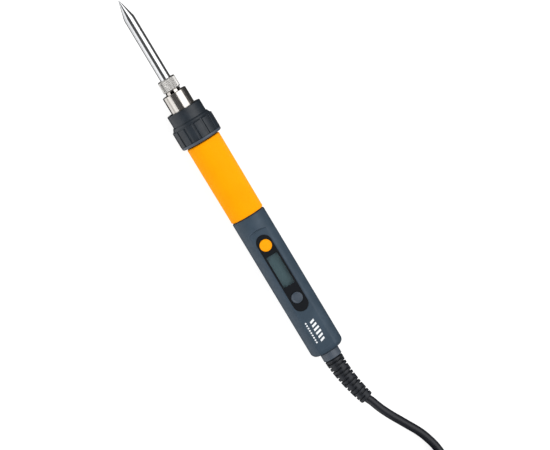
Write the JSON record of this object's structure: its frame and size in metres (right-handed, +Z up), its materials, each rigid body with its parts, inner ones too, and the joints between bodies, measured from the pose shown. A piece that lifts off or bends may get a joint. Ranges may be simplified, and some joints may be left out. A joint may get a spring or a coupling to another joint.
{
  "type": "soldering iron",
  "caption": "Slim mains soldering iron with conical tip, ribbed clamp collar, soft grip sleeve, handle with display and buttons, and cord folded into a hank with plug.",
  "frame": {"origin": "middle of the iron's own box, on the surface it lies on; the cord, its strain relief and its plug are not counted", "axes": "+X along the iron towards the tip, +Z up through the display panel, -Y the side the cord bends to"},
  "size_m": [0.4959, 0.0463, 0.0255],
  "materials": {
    "tip_steel": "polished plated steel",
    "nickel": "bright nickel plate with a fine knurl",
    "barrel_steel": "polished stainless tube",
    "ceramic": "fired ceramic",
    "collar_plastic": "satin heat-resistant moulding",
    "insert_plastic": "heat-resistant moulding",
    "sleeve_rubber": "satin soft grip",
    "handle_plastic": "satin moulding",
    "lens_plastic": "clear gloss over black",
    "display_glass": "grey-green liquid crystal glass",
    "frame_plastic": "white moulding",
    "button_yellow": "satin moulding",
    "button_grey": "satin moulding",
    "board": "solder mask on laminate",
    "component_black": "moulded epoxy",
    "capacitor_film": "dipped resin",
    "resistor_body": "lacquer",
    "wire_red": "extruded insulation",
    "wire_blue": "extruded insulation",
    "screw_steel": "zinc-plated steel",
    "relief_rubber": "satin soft moulding",
    "cord_pvc": "satin extruded sheath",
    "tie_wire": "woven hook-and-loop strap",
    "plug_pvc": "satin moulding",
    "pin_brass": "nickel-plated brass"
  },
  "bodies": {
    "handle": {"front_insert": "insert_plastic", "heater_core": "ceramic", "heater_flange": "ceramic", "heater_lead_left": "wire_red", "heater_lead_right": "wire_red", "sensor_lead_left": "wire_blue", "sensor_lead_right": "wire_blue", "grip_sleeve": "sleeve_rubber", "handle_top_shell": "handle_plastic", "handle_bottom_shell": "handle_plastic", "display_lens": "lens_plastic", "lcd_module": "display_glass", "lcd_frame": "frame_plastic", "control_board": "board", "mcu_chip": "component_black", "triac": "component_black", "drop_capacitor": "capacitor_film", "fuse_resistor": "resistor_body", "power_switch": "component_black", "set_switch": "component_black", "shell_screw_front": "screw_steel", "shell_screw_left": "screw_steel", "shell_screw_right": "screw_steel", "cord_clamp": "handle_plastic", "clamp_screw_left": "screw_steel", "clamp_screw_right": "screw_steel", "live_lead": "wire_red", "neutral_lead": "wire_blue", "cord_gland": "relief_rubber", "strain_relief": "relief_rubber", "cord_inner_end": "cord_pvc", "cord_lead": "cord_pvc", "cord_hank": "cord_pvc", "cord_tail": "cord_pvc", "cord_tie": "tie_wire", "plug_body": "plug_pvc", "plug_relief": "plug_pvc", "plug_pin_left": "pin_brass", "plug_pin_right": "pin_brass"},
    "barrel": {"barrel_tube": "barrel_steel", "nose_bush": "barrel_steel"},
    "collar": {"collar_nut": "collar_plastic"},
    "tip": {"soldering_tip": "tip_steel"},
    "nut": {"tip_nut": "nickel"},
    "power_key": {"power_button": "button_yellow", "power_plunger": "component_black"},
    "set_key": {"set_button": "button_grey", "set_plunger": "component_black"}
  },
  "joints": [
    {"name": "barrel_slide", "type": "slide", "parent": "handle", "child": "barrel", "axis": [1, 0, 0], "range_m": [0, 0.07]},
    {"name": "collar_turn", "type": "hinge", "parent": "barrel", "child": "collar", "pos_m": [0.0372, 0, 0.01275], "axis": [1, 0, 0], "continuous": true},
    {"name": "tip_slide", "type": "slide", "parent": "barrel", "child": "tip", "axis": [1, 0, 0], "range_m": [0, 0.04]},
    {"name": "nut_turn", "type": "hinge", "parent": "tip", "child": "nut", "pos_m": [0.0635, 0, 0.01275], "axis": [1, 0, 0], "continuous": true},
    {"name": "power_press", "type": "slide", "parent": "handle", "child": "power_key", "axis": [0, 0, -1], "range_m": [0, 0.0004], "stiffness_N_per_m": 2500},
    {"name": "set_press", "type": "slide", "parent": "handle", "child": "set_key", "axis": [0, 0, -1], "range_m": [0, 0.0004], "stiffness_N_per_m": 2500}
  ]
}
